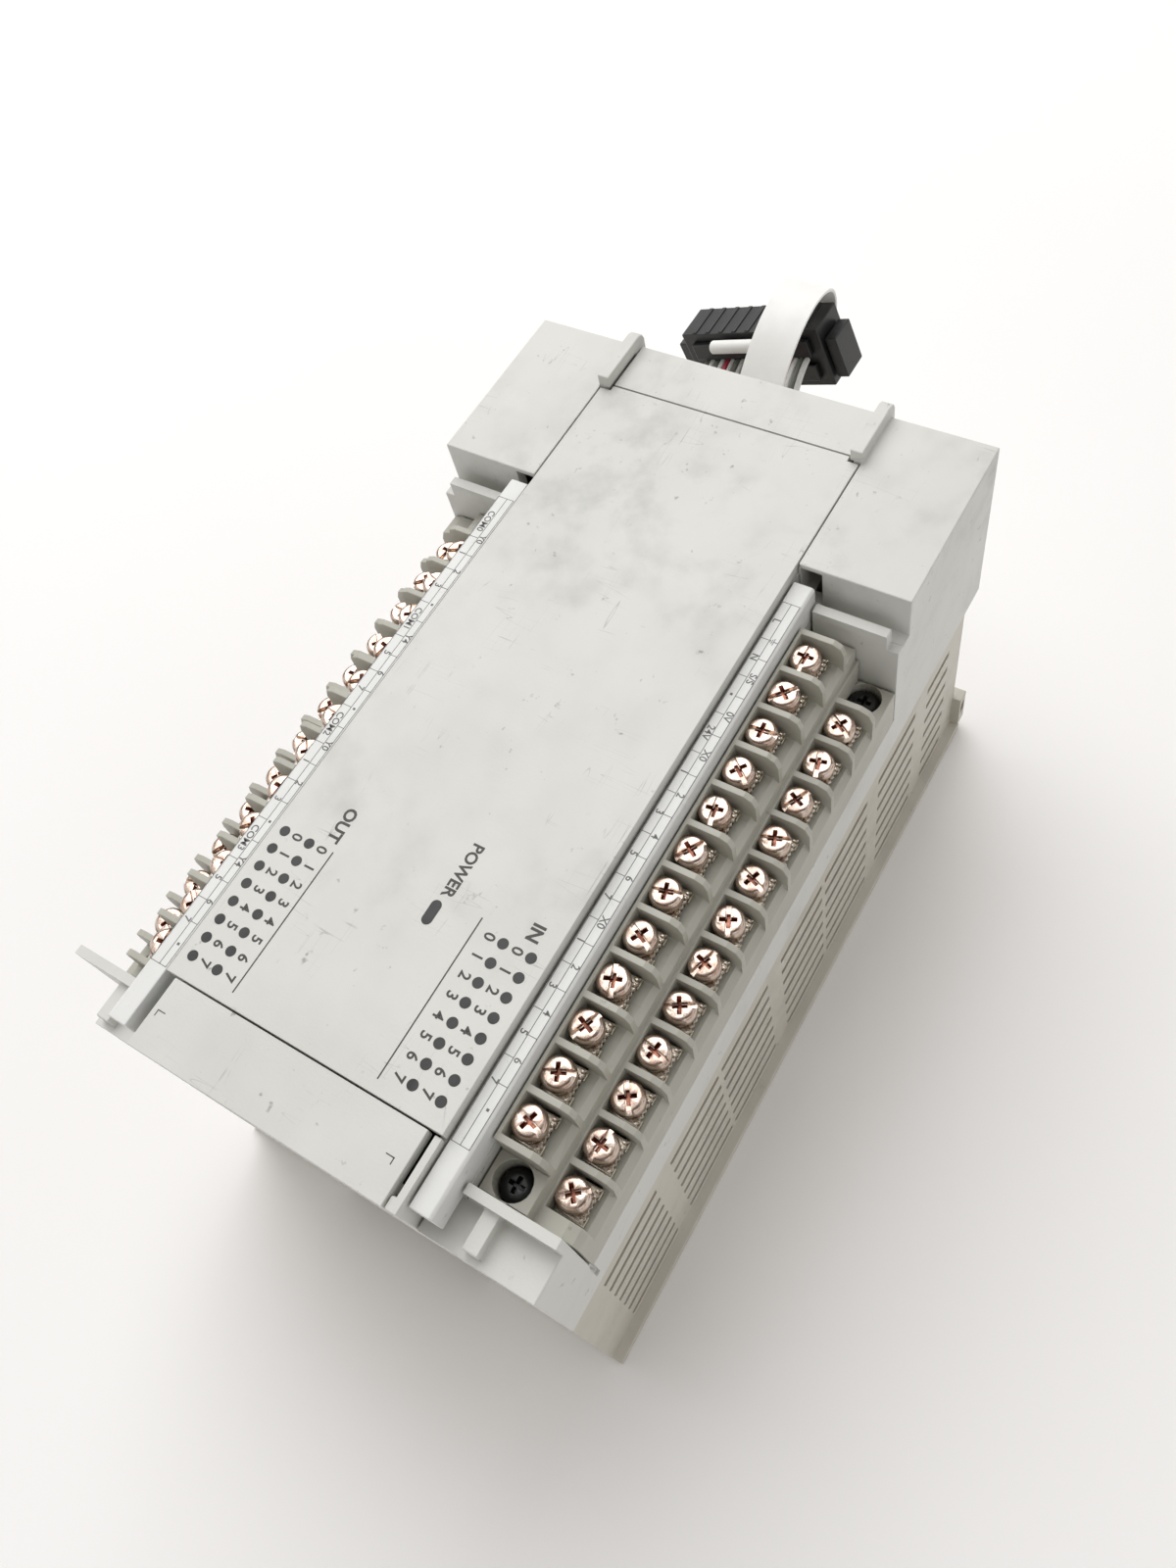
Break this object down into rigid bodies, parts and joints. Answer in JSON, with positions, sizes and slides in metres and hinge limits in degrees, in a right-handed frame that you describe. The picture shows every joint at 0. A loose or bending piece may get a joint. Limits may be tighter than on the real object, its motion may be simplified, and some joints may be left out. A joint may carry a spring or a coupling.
{
  "type": "plc expansion module",
  "caption": "Rail-mounted input and output expansion module with lift-off screw terminal blocks, indicator windows, end covers, a rail latch and a short ribbon cable with plug.",
  "frame": {"origin": "on the rear plane, at the centre of the case's outline and on the rail's centre line", "axes": "+Z out of the indicator panel, away from the rail; +X along the case towards the extension socket, the reading direction of the print; +Y towards the input terminals"},
  "size_m": [0.1823, 0.09, 0.0894],
  "materials": {
    "case_abs": "moulded ABS, fine grain, cool light grey",
    "block_pbt": "moulded PBT, light grey with a green cast",
    "label_strip": "white moulded strip with black print",
    "black_pbt": "black moulded PBT",
    "nickel_plate": "nickel-plated steel",
    "tinned_brass": "tin-plated brass sheet",
    "fibreglass": "green circuit board",
    "smoked_lens": "smoked clear plastic",
    "relay_case": "dark blue-grey relay case",
    "core_steel": "laminated core steel",
    "aluminium": "extruded aluminium",
    "vinyl_sleeve": "vinyl sleeve",
    "cable_pvc": "grey ribbon-cable insulation",
    "pull_tape": "white plastic film tape"
  },
  "bodies": {
    "case": {"rear_case": "case_abs", "upper_case": "case_abs", "front_panel": "case_abs", "case_screw_1": "nickel_plate", "case_screw_2": "nickel_plate", "case_screw_3": "nickel_plate", "case_screw_4": "nickel_plate", "label_bar_in": "label_strip", "label_bar_out": "label_strip", "power_board": "fibreglass", "board_screw_1": "nickel_plate", "board_screw_2": "nickel_plate", "board_screw_3": "nickel_plate", "board_screw_4": "nickel_plate", "spacer_frame": "black_pbt", "transformer_core": "core_steel", "transformer_winding": "vinyl_sleeve", "filter_capacitor_1": "vinyl_sleeve", "filter_capacitor_2": "vinyl_sleeve", "filter_capacitor_3": "vinyl_sleeve", "power_heat_sink": "aluminium", "io_board": "fibreglass", "relay_bank_a": "relay_case", "relay_bank_b": "relay_case", "optocoupler_row": "black_pbt", "bus_chip_1": "black_pbt", "bus_chip_2": "black_pbt", "board_link": "black_pbt", "indicator_board": "fibreglass", "light_guide": "smoked_lens", "socket_carrier": "fibreglass", "extension_socket": "black_pbt", "socket_pins": "tinned_brass", "cable_socket": "black_pbt", "ribbon_cable": "cable_pvc", "cable_plug": "black_pbt", "plug_latch_left": "black_pbt", "plug_latch_right": "black_pbt", "pull_tab": "pull_tape"},
    "latch": {"rail_latch": "case_abs"},
    "cable_lid": {"cable_cover": "case_abs"},
    "connector_lid": {"connector_cover": "case_abs"},
    "in_block": {"terminal_block_in": "block_pbt", "block_screw_in_upper": "black_pbt", "contact_plates_in_upper": "tinned_brass", "terminal_screws_in_upper": "nickel_plate", "block_screw_in_lower": "black_pbt", "contact_plates_in_lower": "tinned_brass", "terminal_screws_in_lower": "nickel_plate"},
    "out_block": {"terminal_block_out": "block_pbt", "block_screw_out_upper": "black_pbt", "contact_plates_out_upper": "tinned_brass", "terminal_screws_out_upper": "nickel_plate", "block_screw_out_lower": "black_pbt", "contact_plates_out_lower": "tinned_brass", "terminal_screws_out_lower": "nickel_plate"}
  },
  "joints": [
    {"name": "rail_latch_slide", "type": "slide", "parent": "case", "child": "latch", "axis": [0, -1, 0], "range_m": [0, 0.005], "stiffness_N_per_m": 400, "springref_m": -0.004},
    {"name": "cable_cover_lift", "type": "slide", "parent": "case", "child": "cable_lid", "axis": [0, 0, 1], "range_m": [0, 0.012]},
    {"name": "connector_cover_lift", "type": "slide", "parent": "case", "child": "connector_lid", "axis": [0, 0, 1], "range_m": [0, 0.012]},
    {"name": "input_block_lift", "type": "slide", "parent": "case", "child": "in_block", "axis": [0, 0, 1], "range_m": [0, 0.01]},
    {"name": "output_block_lift", "type": "slide", "parent": "case", "child": "out_block", "axis": [0, 0, 1], "range_m": [0, 0.01]}
  ]
}
